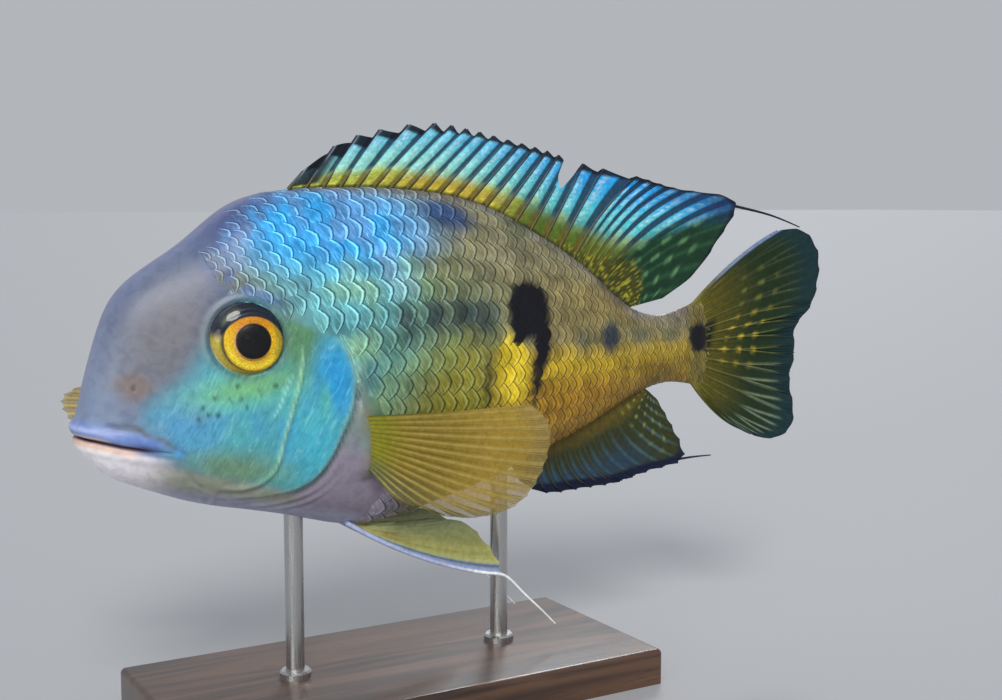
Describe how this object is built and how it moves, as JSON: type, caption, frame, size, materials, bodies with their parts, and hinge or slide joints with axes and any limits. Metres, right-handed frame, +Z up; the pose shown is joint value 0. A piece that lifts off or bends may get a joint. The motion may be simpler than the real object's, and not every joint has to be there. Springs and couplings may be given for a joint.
{
  "type": "nicaragua cichlid display model",
  "caption": "Life-size swimming cichlid fish with raised fins, held over a flat base by upright rods, for display.",
  "frame": {"origin": "middle of the underside of the stand's base", "axes": "+Z up; +X towards the tail, the fish looks along -X; -Y is the fish's left side"},
  "size_m": [0.1923, 0.0621, 0.126],
  "materials": {
    "head_skin": "smooth painted resin skin, satin with a wet sheen, grey-mauve",
    "lip_skin": "smooth painted resin skin, blue-lavender",
    "jaw_skin": "smooth painted resin skin, cream and pale pink",
    "gill_skin": "painted resin skin, turquoise with a wet sheen",
    "body_scales": "painted scales, sky blue over olive and gold, wet sheen",
    "tail_scales": "painted scales, olive gold, wet sheen",
    "dorsal_membrane": "thin tinted resin sheet with raised rays, blue and green",
    "anal_membrane": "thin tinted resin sheet with raised rays, dark olive and navy",
    "caudal_membrane": "thin tinted resin sheet with raised rays, olive green",
    "pectoral_membrane": "thin clear resin sheet with raised rays, golden brown",
    "pelvic_membrane": "thin tinted resin sheet with raised rays, olive yellow",
    "eye": "cast resin eye, golden ring and black pupil under a clear dome",
    "base_wood": "dark stained hardwood, satin varnish",
    "rod_steel": "brushed round bar"
  },
  "bodies": {
    "root": {"head": "head_skin", "upper_lip": "lip_skin", "lower_jaw": "jaw_skin", "gill_cover_left": "gill_skin", "gill_cover_right": "gill_skin", "trunk": "body_scales", "tail_stalk": "tail_scales", "dorsal_fin": "dorsal_membrane", "anal_fin": "anal_membrane", "caudal_fin": "caudal_membrane", "pectoral_fin_left": "pectoral_membrane", "pectoral_fin_right": "pectoral_membrane", "pelvic_fin_left": "pelvic_membrane", "pelvic_fin_right": "pelvic_membrane", "eye_left": "eye", "eye_right": "eye", "stand_base": "base_wood", "stand_rod_front": "rod_steel", "stand_rod_rear": "rod_steel"}
  },
  "joints": []
}
